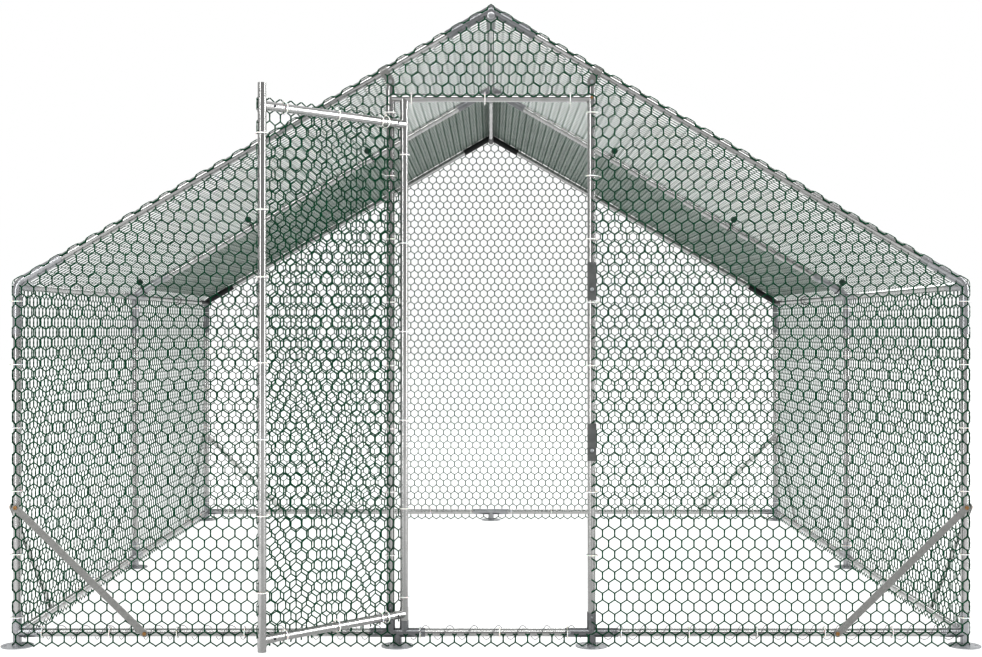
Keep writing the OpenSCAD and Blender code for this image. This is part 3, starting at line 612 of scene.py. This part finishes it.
def net_panels(pitch):
    """Every panel by the node it stands for, or by its own name, with the body that carries it."""
    off = NET_OFF + NET_T / 4
    wrap = 1.9 * off  # 1.9 radians round a corner post
    half_side = pitch / math.sqrt(3) / 2
    tip = 4 * MM - half_side
    foot, drop = 1 * MM, 13 * MM  # above the ground, and under the rafters' centre lines
    panels = {}
    for side, name in ((-1, "left"), (1, "right")):
        inner, outer = DOOR_POST_X - 1 * MM, HALF_W + wrap
        shift = 5.5 * MM if side > 0 else 0  # the right front net hangs a little to the side
        panels[f"front_{name}_net"] = "frame", Panel(
            (0, -BAY, 0), side * RIGHT, UP, -REAR,
            [(inner, foot), (outer, foot), (outer, gable(outer) - drop), (inner, gable(inner) - drop)],
            off, fold_u=(0, HALF_W), start=(pitch / 2 + shift, tip))
        end = BAY + 0.5 * off
        panels[f"{name}_net"] = "frame", Panel(
            (side * HALF_W, 0, 0), REAR, UP, side * RIGHT, oblong(-end, foot, end, EAVE_Z),
            off, fold_u=(-BAY, BAY), start=(-BAY, tip))
        end = BAY + pitch / 2 + 1.5 * MM
        low, high = -off * (math.pi / 2 - PITCH), SLOPE_LEN + off * TAN
        edge, uphill, out = roof_side(side)
        panels[f"{name}_roof_net"] = "frame", Panel(
            edge, REAR, uphill, out, oblong(-end, low, end, high),
            off, fold_u=(-BAY, BAY), fold_v=(0, 2 * SLOPE_LEN), start=(-BAY, 11 * MM))
    shoulder = gable(DOOR_POST_X) - drop
    for name, outline in (
        ("front_gable_net", [(-DOOR_POST_X, LINTEL_Z), (DOOR_POST_X, LINTEL_Z), (DOOR_POST_X, shoulder),
                             (0, gable(0) - drop), (-DOOR_POST_X, shoulder)]),
        ("sill_fringe", oblong(-DOOR_POST_X, foot, DOOR_POST_X, RAIL_Z - 2 * MM)),
    ):
        panels[name] = "frame", Panel((0, -BAY, 0), RIGHT, UP, -REAR, outline, off, start=(pitch / 2, tip))
    wide = HALF_W + wrap
    eave = gable(wide) - drop
    panels["rear_net"] = "frame", Panel(
        (0, BAY, 0), -RIGHT, UP, REAR,
        [(-wide, foot), (wide, foot), (wide, eave), (0, gable(0) - drop), (-wide, eave)],
        off, fold_u=(-HALF_W, HALF_W), start=(pitch / 2, tip))
    off = TUBE_R + 2.6 * MM
    low, high = DOOR_LOW - 24 * MM, DOOR_HIGH + 26 * MM  # past both rails
    panels["door_net"] = "door", Panel(
        on_door(0, 0), DOOR_ALONG, UP, DOOR_OUT, oblong(0, low, DOOR_W + 1.5 * off, high),
        off, fold_u=(0, DOOR_W), start=(DOOR_W, high + half_side))
    return panels


class RUN_OT_netting(bpy.types.Operator):
    """Hexagonal wire netting on every panel of the frame and on the door"""
    bl_idname = "run.netting"
    bl_label = "Netting"

    def execute(self, context):
        net = context.scene.run_netting
        coating = finish("pvc_dipped_wire", coated_wire, net.colour)
        for name, (body, panel) in net_panels(net.pitch).items():
            thick = net.flat_t if name.startswith(("left_roof", "right_roof", "front", "door")) else net.wire_t
            spread, ring = (SIDE_STEP * net.wire_w, DEPTH_STEP * thick), wire_ring(net.wire_w, thick)
            wires = [sweep(*panel.place(panel.soften(path)), ring)
                     for path in net_wires(panel, net.pitch, spread)]
            add_piece(f"{name}_wire", wires, coating, body, "netting", name if name in frame["nodes"] else None)
        return {"FINISHED"}


# Finishes of the CAD parts

class RUN_OT_frame_finish(bpy.types.Operator):
    """Finishes of the tubes, connectors, braces, screws and latches"""
    bl_idname = "run.frame_finish"
    bl_label = "Frame finish"

    def execute(self, context):
        colours = context.scene.run_finish
        tube = finish("galvanised_tube", galvanised, colours.tube, spangle=24, sheen=0.2, dark=0.9)
        dull = sleeve_finish("dull_sleeve", colours.dull_sleeve, colours.plate)
        # The rear connectors get painted shade: their arms along the rafters are black for the shade under the
        # cover
        dark = finish("half_coated_sleeve", painted_shade_arms, colours.rear, colours.dull_sleeve)
        by_slot = {
            "tube": tube,
            "connector": sleeve_finish("galvanised_sleeve", colours.sleeve, colours.plate),
            "brace_strip": finish("strip_painted_light_inside", strip_painted_light_inside, colours.strip, colours.strip_inside_painted_light),
            "clip": finish("galvanised_clip", galvanised, colours.strip, spangle=7, sheen=0.42, dark=0.85),
            "screws": finish("plated_screws", frame_fasteners, colours.zinc, colours.bolt),
            "bolts": finish("bright_zinc", zinc_plated, colours.bolt),
            "latch_plate": finish("powder_coated_plate", powder_coat, colours.latch),
        }
        by_name = {
            **dict.fromkeys(("lintel_tee", "lintel_hinge_tee", "door_tees"), tube),
            **dict.fromkeys(("front_apex_joint", "middle_apex_joint", "hinge_foot", "latch_foot"), dull),
            **dict.fromkeys(("rear_apex_joint", "rear_left_eave_elbow", "rear_right_eave_elbow"), dark),
        }
        for part in frame["record"]["subparts"]:
            material = by_name.get(part["node"]) or by_slot.get(part["material_slot"])
            if material:
                paint(frame["nodes"][part["node"]], material)
        return {"FINISHED"}


# Ties, lacing and fasteners

# Where ties are seen on the lintel and the front rail, from the middle, and along the door's rails
LINTEL_TIES = -0.249, -0.019, 0.248
RAIL_TIES = *np.arange(-1.405, -0.5, 0.2113), -0.222, 0.027, 0.239, *np.arange(0.407, 1.3, 0.2123)
DOOR_RAIL_TIES = 0.075, 0.1, 0.27, 0.465
RAIL_GAP = 0.21  # between the ties on the side and rear rails


def round_tie(centre, axis, head, radius, band, number):
    """A cable tie round a tube: the band, the head on the given side, and the cut tail behind it."""
    axis, head = unit(np.array(axis, float)), unit(np.array(head, float))
    side = np.cross(axis, head)
    width, thick = band
    centre = np.array(centre, float)
    pieces = [hoop(centre, radius, head, side, block(width, thick))]
    base = centre + (radius + 0.9 * thick) * head
    run = np.array([-0.55, -0.45, 0.45, 0.55])[:, None] * 1.6 * width
    pieces.append(sweep(base + run * side, np.tile(head, (4, 1)), block(1.5 * width, 2.6 * thick),
                        size=[0.8, 1, 1, 0.8]))
    reach = np.linspace(0, 1, 7)
    lean = 0.5 + 0.35 * math.sin(2.4 * number)
    length = (13 + 5 * math.sin(1.7 * number)) * MM
    bend = 0.3 * math.sin(3.1 * number)
    tail = np.stack([reach, lean * reach ** 2, bend * reach ** 2], -1) * length @ np.array([side, head, axis])
    pieces.append(sweep(base + tail, np.tile(head, (7, 1)), block(0.8 * width, 0.9 * thick),
                        size=1 - 0.3 * reach))
    return pieces


class RUN_OT_ties(bpy.types.Operator):
    """White cable ties that hold the netting on the posts, rails, lintel and door"""
    bl_idname = "run.ties"
    bl_label = "Cable ties"

    def execute(self, context):
        ties = context.scene.run_ties
        over = NET_OFF + NET_T + 1.6 * MM
        band = ties.band_w, ties.band_t
        places = []
        # Each row starts at the first tie that is seen and stops short of the next connector
        heights = np.arange(0.091, EAVE_Z - 0.03, ties.spacing)
        for side in (-1, 1):
            for y, head_y in ((-BAY, -0.35), (0, 0.1), (BAY, 0.35)):
                places += [((side * HALF_W, y, z), UP, (side, head_y, 0), over) for z in heights]
            tops = np.arange(LINTEL_Z - 0.046, 0.2, -ties.spacing)
            tight = TUBE_R + 2.2 * MM if side < 0 else over
            places += [((side * DOOR_POST_X, -BAY, z), UP, (side, -0.2, 0), tight) for z in tops]
            rows = np.arange(BAY - RAIL_GAP, -BAY + 0.1, -RAIL_GAP)
            places += [((side * HALF_W, y, RAIL_Z), REAR, (0.3 * side, 0, 1), over) for y in rows
                       if abs(y) > 0.09]
            places += [((side * x, BAY, RAIL_Z), RIGHT, (0, 0.3, 1), over)
                       for x in np.arange(HALF_W - 0.12, 0.1, -RAIL_GAP)]
        places += [((x, -BAY, LINTEL_Z), RIGHT, (0, -0.3, -1), over) for x in LINTEL_TIES]
        places += [((x, -BAY, RAIL_Z), RIGHT, (0, -0.3, 1), over) for x in RAIL_TIES]

        clear, lift = 20 * MM, 26 * MM  # a tie this near to a latch is moved up
        heights = np.arange(DOOR_HIGH - 0.08, DOOR_LOW + 0.05, -0.2195)
        heights = [z + lift if min(abs(z - latch) for latch in LATCH_Z) < clear else z for z in heights]
        door = [(on_door(DOOR_W, z), UP, DOOR_ALONG - DOOR_OUT, over) for z in heights]
        door += [(on_door(0, z), UP, -DOOR_ALONG - DOOR_OUT, TUBE_R + 2 * MM)
                 for z in np.arange(1.54, DOOR_LOW + 0.04, -0.277)]
        for z in (DOOR_LOW, DOOR_HIGH):
            door += [(on_door(u, z), DOOR_ALONG, UP, over) for u in DOOR_RAIL_TIES]

        nylon = finish("moulded_nylon", moulded_nylon, ties.colour)
        for name, body, spots in (("net_ties", "frame", places), ("door_ties", "door", door)):
            parts = [part for number, spot in enumerate(spots) for part in round_tie(*spot, band, number)]
            add_piece(name, parts, nylon, body, crease=40)
        return {"FINISHED"}


class RUN_OT_lacing(bpy.types.Operator):
    """Thin zinc wire wound round the front rails, the sill and the netting's lower edge"""
    bl_idname = "run.lacing"
    bl_label = "Rail lacing"

    def execute(self, context):
        pitch = 2 * context.scene.run_netting.pitch
        radius, wire, lowest = 21.5 * MM, 0.9 * MM, -17 * MM
        gap, foot = 30 * MM, middle("hinge_foot").x
        pieces = []
        for first, last in ((-HALF_W + gap, foot - 1.4 * gap), (foot + 1.4 * gap, DOOR_POST_X - gap),
                            (DOOR_POST_X + gap, HALF_W - gap)):
            x = np.arange(first, last, pitch / 20)
            angle = 2 * math.pi * (x - lowest) / pitch
            out = np.stack([0 * x, -np.sin(angle), -np.cos(angle)], -1)
            middle_line = np.stack([x, 0 * x - BAY, 0 * x + RAIL_Z], -1)
            pieces.append(sweep(middle_line + radius * out, out, disc(wire, 5)))
        zinc = finish("drawn_zinc_wire", zinc_plated, context.scene.run_finish.wire)
        add_piece("rail_lacing", pieces, zinc, slot="tube")
        return {"FINISHED"}


def pan_head(origin, axis, size):
    """A pan-head screw: its flange, its dome and its socket."""
    profile = np.array([(0.5, -0.3), (1, 0), (1, 0.25), (0.86, 0.55), (0.55, 0.75), (0.4, 0.75), (0.34, 0.45)])
    return turned(size / 2 * profile, 16, origin, axis)


class RUN_OT_screws(bpy.types.Operator):
    """Small screws that lock the tubes in their sleeves, and the heads of the latch bolts"""
    bl_idname = "run.screws"
    bl_label = "Screw heads"

    def execute(self, context):
        colours = context.scene.run_finish
        inset, door_inset = 14 * MM, 36 * MM
        spots = [(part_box(foot)[end].x + (1 - 2 * end) * inset, RAIL_Z) for foot, end in (
            ("hinge_foot", 1), ("hinge_foot", 0), ("latch_foot", 0), ("latch_foot", 1),
            ("front_left_foot", 1), ("front_right_foot", 0))]
        spots += [(x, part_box(foot)[1].z - inset) for x, foot in (
            (DOOR_POST_X, "latch_foot"), (-DOOR_POST_X, "hinge_foot"),
            (-HALF_W, "front_left_foot"), (HALF_W, "front_right_foot"))]
        spots.append((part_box("lintel_hinge_tee")[1].x - inset, LINTEL_Z))
        screws = [((x, -BAY - SLEEVE_R, z), -REAR) for x, z in spots]
        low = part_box("middle_right_eave_elbow")[0].z + inset
        screws += [((side * (HALF_W - SLEEVE_R), y, low), (-side, 0, 0))
                   for side in (-1, 1) for y in (-BAY, 0, BAY)]
        bolts = [((DOOR_POST_X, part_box("latch_bolts")[0].y, z), -REAR) for z in LATCH_Z]
        lintel = [((DOOR_POST_X, -BAY - SLEEVE_R, LINTEL_Z), -REAR)]
        tees = [(on_door(u, z, -TUBE_R - 1.1 * MM), -DOOR_OUT) for u in (door_inset, DOOR_W - door_inset)
                for z in (DOOR_LOW, DOOR_HIGH)]

        bright = finish("bright_zinc", zinc_plated, colours.bolt)
        yellow = finish("yellow_zinc", zinc_plated, colours.zinc)
        dull = finish("dark_zinc", zinc_plated, colours.dull)
        for name, body, heads, size, material, slot in (
            ("sleeve_screws", "frame", screws, 6.5 * MM, bright, "bolts"),
            ("latch_bolt_heads", "frame", bolts, 13 * MM, bright, "bolts"),
            ("lintel_bolt", "frame", lintel, 9 * MM, yellow, "screws"),
            ("tee_screws", "door", tees, 7 * MM, dull, "bolts"),
        ):
            add_piece(name, [pan_head(*head, size) for head in heads], material, body, slot, crease=40)
        return {"FINISHED"}


class RUN_OT_ridge_caps(bpy.types.Operator):
    """Low domed caps that close the two end sockets of the ridge"""
    bl_idname = "run.ridge_caps"
    bl_label = "Ridge caps"

    def execute(self, context):
        ridge, mouth = middle("ridge_purlins").z, TUBE_R + 0.1 * MM
        cap = [(mouth, -4 * MM), (mouth, 0), (0.92 * mouth, 0.8 * MM), (0.6 * mouth, 1.6 * MM),
               (0.2 * mouth, 1.9 * MM)]
        ends = [turned(cap, 32, (0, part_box("front_apex_joint")[0].y, ridge), -REAR),
                turned(cap, 32, (0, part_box("rear_apex_joint")[1].y, ridge), REAR)]
        colours = context.scene.run_finish
        zinc = sleeve_finish("galvanised_sleeve", colours.sleeve, colours.plate)
        add_piece("ridge_caps", ends, zinc, slot="connector", crease=40)
        return {"FINISHED"}


# Cover and its loops

CORD_R, BALL_R = 2 * MM, 13.5 * MM


def elastic_loops():
    """Place of every elastic loop on the rafters' centre lines, its way off the roof, its radius, its straight
    run to the rear, the height of its middle and the height of its ball."""
    points = points_of("cover_bungees")
    for side in (-1, 1):
        eave, slope, out = roof_side(side)
        here = points[points[:, 0] * side > 0] - eave
        up = here @ slope
        order = np.argsort(up)
        for group in np.split(order, np.flatnonzero(np.diff(up[order]) > 4 * BALL_R) + 1):
            lift, depth = here[group] @ out, here[group][:, 1]
            radius = -depth.min() - CORD_R
            yield (eave + slope * (up[group].min() + up[group].max()) / 2, out, radius,
                   depth.max() - CORD_R - radius, radius + lift.min() + CORD_R, lift.max() - BALL_R)


class RUN_OT_loops(bpy.types.Operator):
    """Elastic loops with balls that tie the cover to the middle rafters, and a loop on each eave purlin"""
    bl_idname = "run.loops"
    bl_label = "Elastic loops"

    def execute(self, context):
        half = np.linspace(0.5, 1.5, 13) * math.pi
        ball = [(math.sin(t), -math.cos(t)) for t in np.linspace(0.06, 0.94, 19) * math.pi]
        seam = len(ball) // 2
        ball[seam:seam + 1] = [(0.998, -0.06), (1.02, -0.03), (1.02, 0.03), (0.998, 0.06)]
        ray = np.stack([np.cos(half), np.sin(half)], -1)
        away = np.concatenate([ray, -ray])
        loops = []
        for place, out, radius, run, centre, top in elastic_loops():
            ways = np.array([REAR, out])
            path = radius * away + np.repeat([(0, centre), (run, centre)], len(ray), axis=0)
            loops.append(sweep(place + path @ ways, away @ ways, disc(CORD_R, 8), closed=True))
            loops.append(turned(BALL_R * np.array(ball), 24, place + top * out, out))

        rings = [hoop(np.array([side * HALF_W, 0.53 * BAY, PURLIN_Z]), 19.5 * MM, RIGHT, UP, disc(CORD_R, 8))
                 for side in (-1, 1)]
        elastic = finish("black_elastic", black_elastic)
        add_piece("cover_loops", loops, elastic, slot="elastic", stands_for="cover_bungees", crease=50)
        add_piece("purlin_loops", rings, elastic, slot="elastic", crease=50)
        return {"FINISHED"}


def hem_lines(half, hem, step):
    """Grid lines across a sheet from its middle to both edges, close together at the inner edge of each hem."""
    inner = np.linspace(hem - half, half - hem, 2 * round(half / step) + 1)
    return np.concatenate([[-half, hem - half - 1.5 * MM], inner, [half - hem + 1.5 * MM, half]])


class RUN_OT_cover(bpy.types.Operator):
    """Woven roof cover over the rear bay, hemmed, with eyelets where the elastic loops pass through"""
    bl_idname = "run.cover"
    bl_label = "Roof cover"

    def execute(self, context):
        cover = context.scene.run_cover
        low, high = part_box("roof_cover")
        base, thick = NET_OFF + NET_T + 1.8 * MM, 1.0 * MM
        reach = SLOPE_LEN + base * TAN
        slope = (high.x - (base + thick) * SIN) / COS + base * TAN
        depth = high.y - low.y
        across = hem_lines(slope, cover.hem, step=28 * MM)
        along = hem_lines(depth / 2, cover.hem, step=27 * MM)
        y, s = np.meshgrid(along, across, indexing="ij")
        inside = np.minimum(slope - np.abs(s), depth / 2 - np.abs(y))
        from_front = (y + depth / 2) / depth
        # Ripples stand between the ties, 190 mm apart, and die away from the front hem to the middle
        fade = np.exp(-5 * from_front) + 0.35 * np.exp(-6 * (1 - from_front))
        lift = np.sin(np.abs(s) / 0.19 * math.pi) ** 2 * fade + 0.25 * np.sin(13 * s + 9 * from_front) ** 2
        lift *= cover.ripple * np.clip(inside / 0.14, 0, 1) * np.clip(np.abs(s) / 0.12, 0, 1)
        fold = np.where(inside < cover.hem - 0.7 * MM, 0.9 * MM, 0)
        layers, ridge, uphill = [], np.abs(s) < 0.01 * MM, reach - np.abs(s)
        for off in (base + thick + fold + lift, base + lift):
            x, z = HALF_W - uphill * COS + off * SIN, EAVE_Z + uphill * SIN + off * COS
            x, z = np.where(ridge, 0, x), np.where(ridge, RIDGE_Z + off / COS, z)
            layers.append(np.stack([np.sign(s) * x, y + (low.y + high.y) / 2, z], -1).reshape(-1, 3))
        index = np.arange(s.size).reshape(s.shape)
        top = np.stack([index[:-1, :-1], index[:-1, 1:], index[1:, 1:], index[1:, :-1]], -1).reshape(-1, 4)
        rim = np.concatenate([index[0], index[1:, -1], index[-1, -2::-1], index[-2:0:-1, 0]])
        after = np.roll(rim, -1)
        edge = np.stack([rim + s.size, after + s.size, after, rim], -1)
        under = top[:, ::-1] + s.size
        obj = new_object("roof_cover_sheet", np.concatenate(layers), top, under, edge, crease=40)
        paint(obj, finish("woven_polyethylene", woven_sheet, cover.under, cover.upper))
        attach(obj, "frame")
        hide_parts("roof_cover")

        rings, brim = [], disc(1.0, 8) * [1.6 * MM, 2.2 * MM]
        for place, out, radius, run, centre, _ in elastic_loops():
            through = base + thick
            hole = place + out * through + REAR * (run + math.sqrt(radius ** 2 - (through - centre) ** 2))
            rings.append(hoop(hole, 5.6 * MM, REAR, np.cross(out, REAR), brim, 20))
        add_piece("cover_eyelets", rings, finish("bright_zinc", zinc_plated, context.scene.run_finish.bolt),
                  slot="bolts")
        return {"FINISHED"}


# Stage, panel and registration

class RUN_OT_stage(bpy.types.Operator):
    """Pale floor, soft studio light and the camera"""
    bl_idname = "run.stage"
    bl_label = "Stage"

    def execute(self, context):
        scene, stage = context.scene, context.scene.run_stage
        half = stage.floor / 2
        corners = np.array([(*corner, -0.5 * MM) for corner in oblong(-half, -half, half, half)])
        floor = new_object("floor", corners, np.array([[0, 1, 2, 3]]))
        made, tree, shader, place = start_material("pale_floor")
        cloud = node(tree, "ShaderNodeTexNoise", {"Vector": place, "Scale": per_mm(900), "Detail": 2.0})
        tint = node(tree, "ShaderNodeValToRGB", {"Fac": cloud}, [(0.3, grey(0.33)), (0.7, grey(0.36))])
        # The metal mirrors a grey card on the floor before the door end, which gives the tubes a dark streak
        mirrored = node(tree, "ShaderNodeLightPath", {}).outputs["Is Glossy Ray"]
        spot = node(tree, "ShaderNodeSeparateXYZ", {"Vector": place})
        before = node(tree, "ShaderNodeMath", {0: spot.outputs["Y"], 1: -BAY - 30 * MM}, operation="LESS_THAN")
        inside = node(tree, "ShaderNodeMath", {0: spot.outputs["X"], 1: 0.0, 2: 1.0}, operation="COMPARE")
        card = node(tree, "ShaderNodeMath", {0: before, 1: inside}, operation="MULTIPLY")
        dim = node(tree, "ShaderNodeMath", {0: card, 1: mirrored}, operation="MULTIPLY")
        glow = node(tree, "ShaderNodeMath", {0: dim, 1: -0.42, 2: 0.84}, operation="MULTIPLY_ADD")
        feed(tree, shader, {"Base Color": tint, "Roughness": 0.9, "Specular IOR Level": 0.0,
                            "Emission Color": grey(1.0), "Emission Strength": glow})
        paint(floor, made)

        world = bpy.data.worlds.new("studio")
        world.use_nodes = True
        tree = world.node_tree
        place = node(tree, "ShaderNodeTexCoord", {}).outputs["Generated"]
        front = node(tree, "ShaderNodeVectorMath", {0: place, 1: (0.0, 0.75, 0.6)}, operation="DOT_PRODUCT")
        share = node(tree, "ShaderNodeMath", {0: front.outputs["Value"], 1: 0.5, 2: 0.5},
                     operation="MULTIPLY_ADD")
        greys = (0.12, 0.42), (0.3, 0.5), (0.5, 0.62), (0.7, 0.8), (0.9, 1.0)
        dome = node(tree, "ShaderNodeValToRGB", {"Fac": share}, [(at, grey(value)) for at, value in greys])
        lit = node(tree, "ShaderNodeBackground", {"Color": dome, "Strength": 1.0})
        seen = node(tree, "ShaderNodeBackground", {"Color": grey(1.0), "Strength": 1.0})
        ray = node(tree, "ShaderNodeLightPath", {}).outputs["Is Camera Ray"]
        feed(tree, tree.nodes["World Output"], {
            "Surface": node(tree, "ShaderNodeMixShader", {0: ray, 1: lit, 2: seen})})
        scene.world = world

        for name, place, target, width, height, power in (
            ("key", (-0.5, -5.6, 5.2), (0, 0, 0.8), 9.0, 1.4, 210),
            ("left_strip", (-4.6, -7.0, 2.0), (0, -1.0, 1.4), 0.7, 5.0, 115),
            ("right_strip", (6.0, -2.0, 2.0), (0, -1.5, 1.4), 0.7, 5.0, 155),
            ("rear", (1.5, 7.0, 5.0), (0, 0, 0.8), 4.0, 4.0, 200),
        ):
            light = bpy.data.lights.new(name, "AREA")
            light.shape, light.energy, light.size, light.size_y = "RECTANGLE", power, width, height
            lamp = bpy.data.objects.new(name, light)
            lamp.location = place
            lamp.rotation_euler = (Vector(target) - Vector(place)).to_track_quat("-Z", "Y").to_euler()
            scene.collection.objects.link(lamp)

        view = bpy.data.cameras.new("view")
        view.lens, view.sensor_width, view.shift_y = stage.lens, 36, 0.0012
        camera = bpy.data.objects.new("view", view)
        camera.location = (0, -stage.distance, stage.height)
        camera.rotation_euler = (math.pi / 2, 0, 0)
        scene.collection.objects.link(camera)
        scene.camera = camera
        scene.view_settings.view_transform = "Standard"
        scene.view_settings.gamma = 0.8
        return {"FINISHED"}


class RUN_PT_sidebar(bpy.types.Panel):
    """Lists the run's pieces"""
    bl_idname = "RUN_PT_sidebar"
    bl_label = "Chicken Run"
    bl_space_type = "VIEW_3D"
    bl_region_type = "UI"
    bl_category = "Chicken Run"

    def draw(self, context):
        for operator in OPERATORS:
            self.layout.operator(operator.bl_idname)


GROUPS = {"run_netting": RunNetting, "run_ties": RunTies, "run_cover": RunCover, "run_finish": RunFinish,
          "run_stage": RunStage}
OPERATORS = (RUN_OT_stage, RUN_OT_frame_finish, RUN_OT_netting, RUN_OT_ties, RUN_OT_lacing, RUN_OT_screws,
             RUN_OT_ridge_caps, RUN_OT_cover, RUN_OT_loops)
CLASSES = (*GROUPS.values(), *OPERATORS, RUN_PT_sidebar)


def register():
    """Adds the classes, and the settings to the scene."""
    for made in CLASSES:
        bpy.utils.register_class(made)
    for name, group in GROUPS.items():
        setattr(bpy.types.Scene, name, PointerProperty(type=group))


def unregister():
    """Takes the settings and the classes away again."""
    for name in GROUPS:
        delattr(bpy.types.Scene, name)
    for made in reversed(CLASSES):
        bpy.utils.unregister_class(made)


def main():
    """Makes every piece in order."""
    register()
    for operator in OPERATORS:
        group, name = operator.bl_idname.split(".")
        getattr(getattr(bpy.ops, group), name)()


if __name__ == "__main__":
    main()
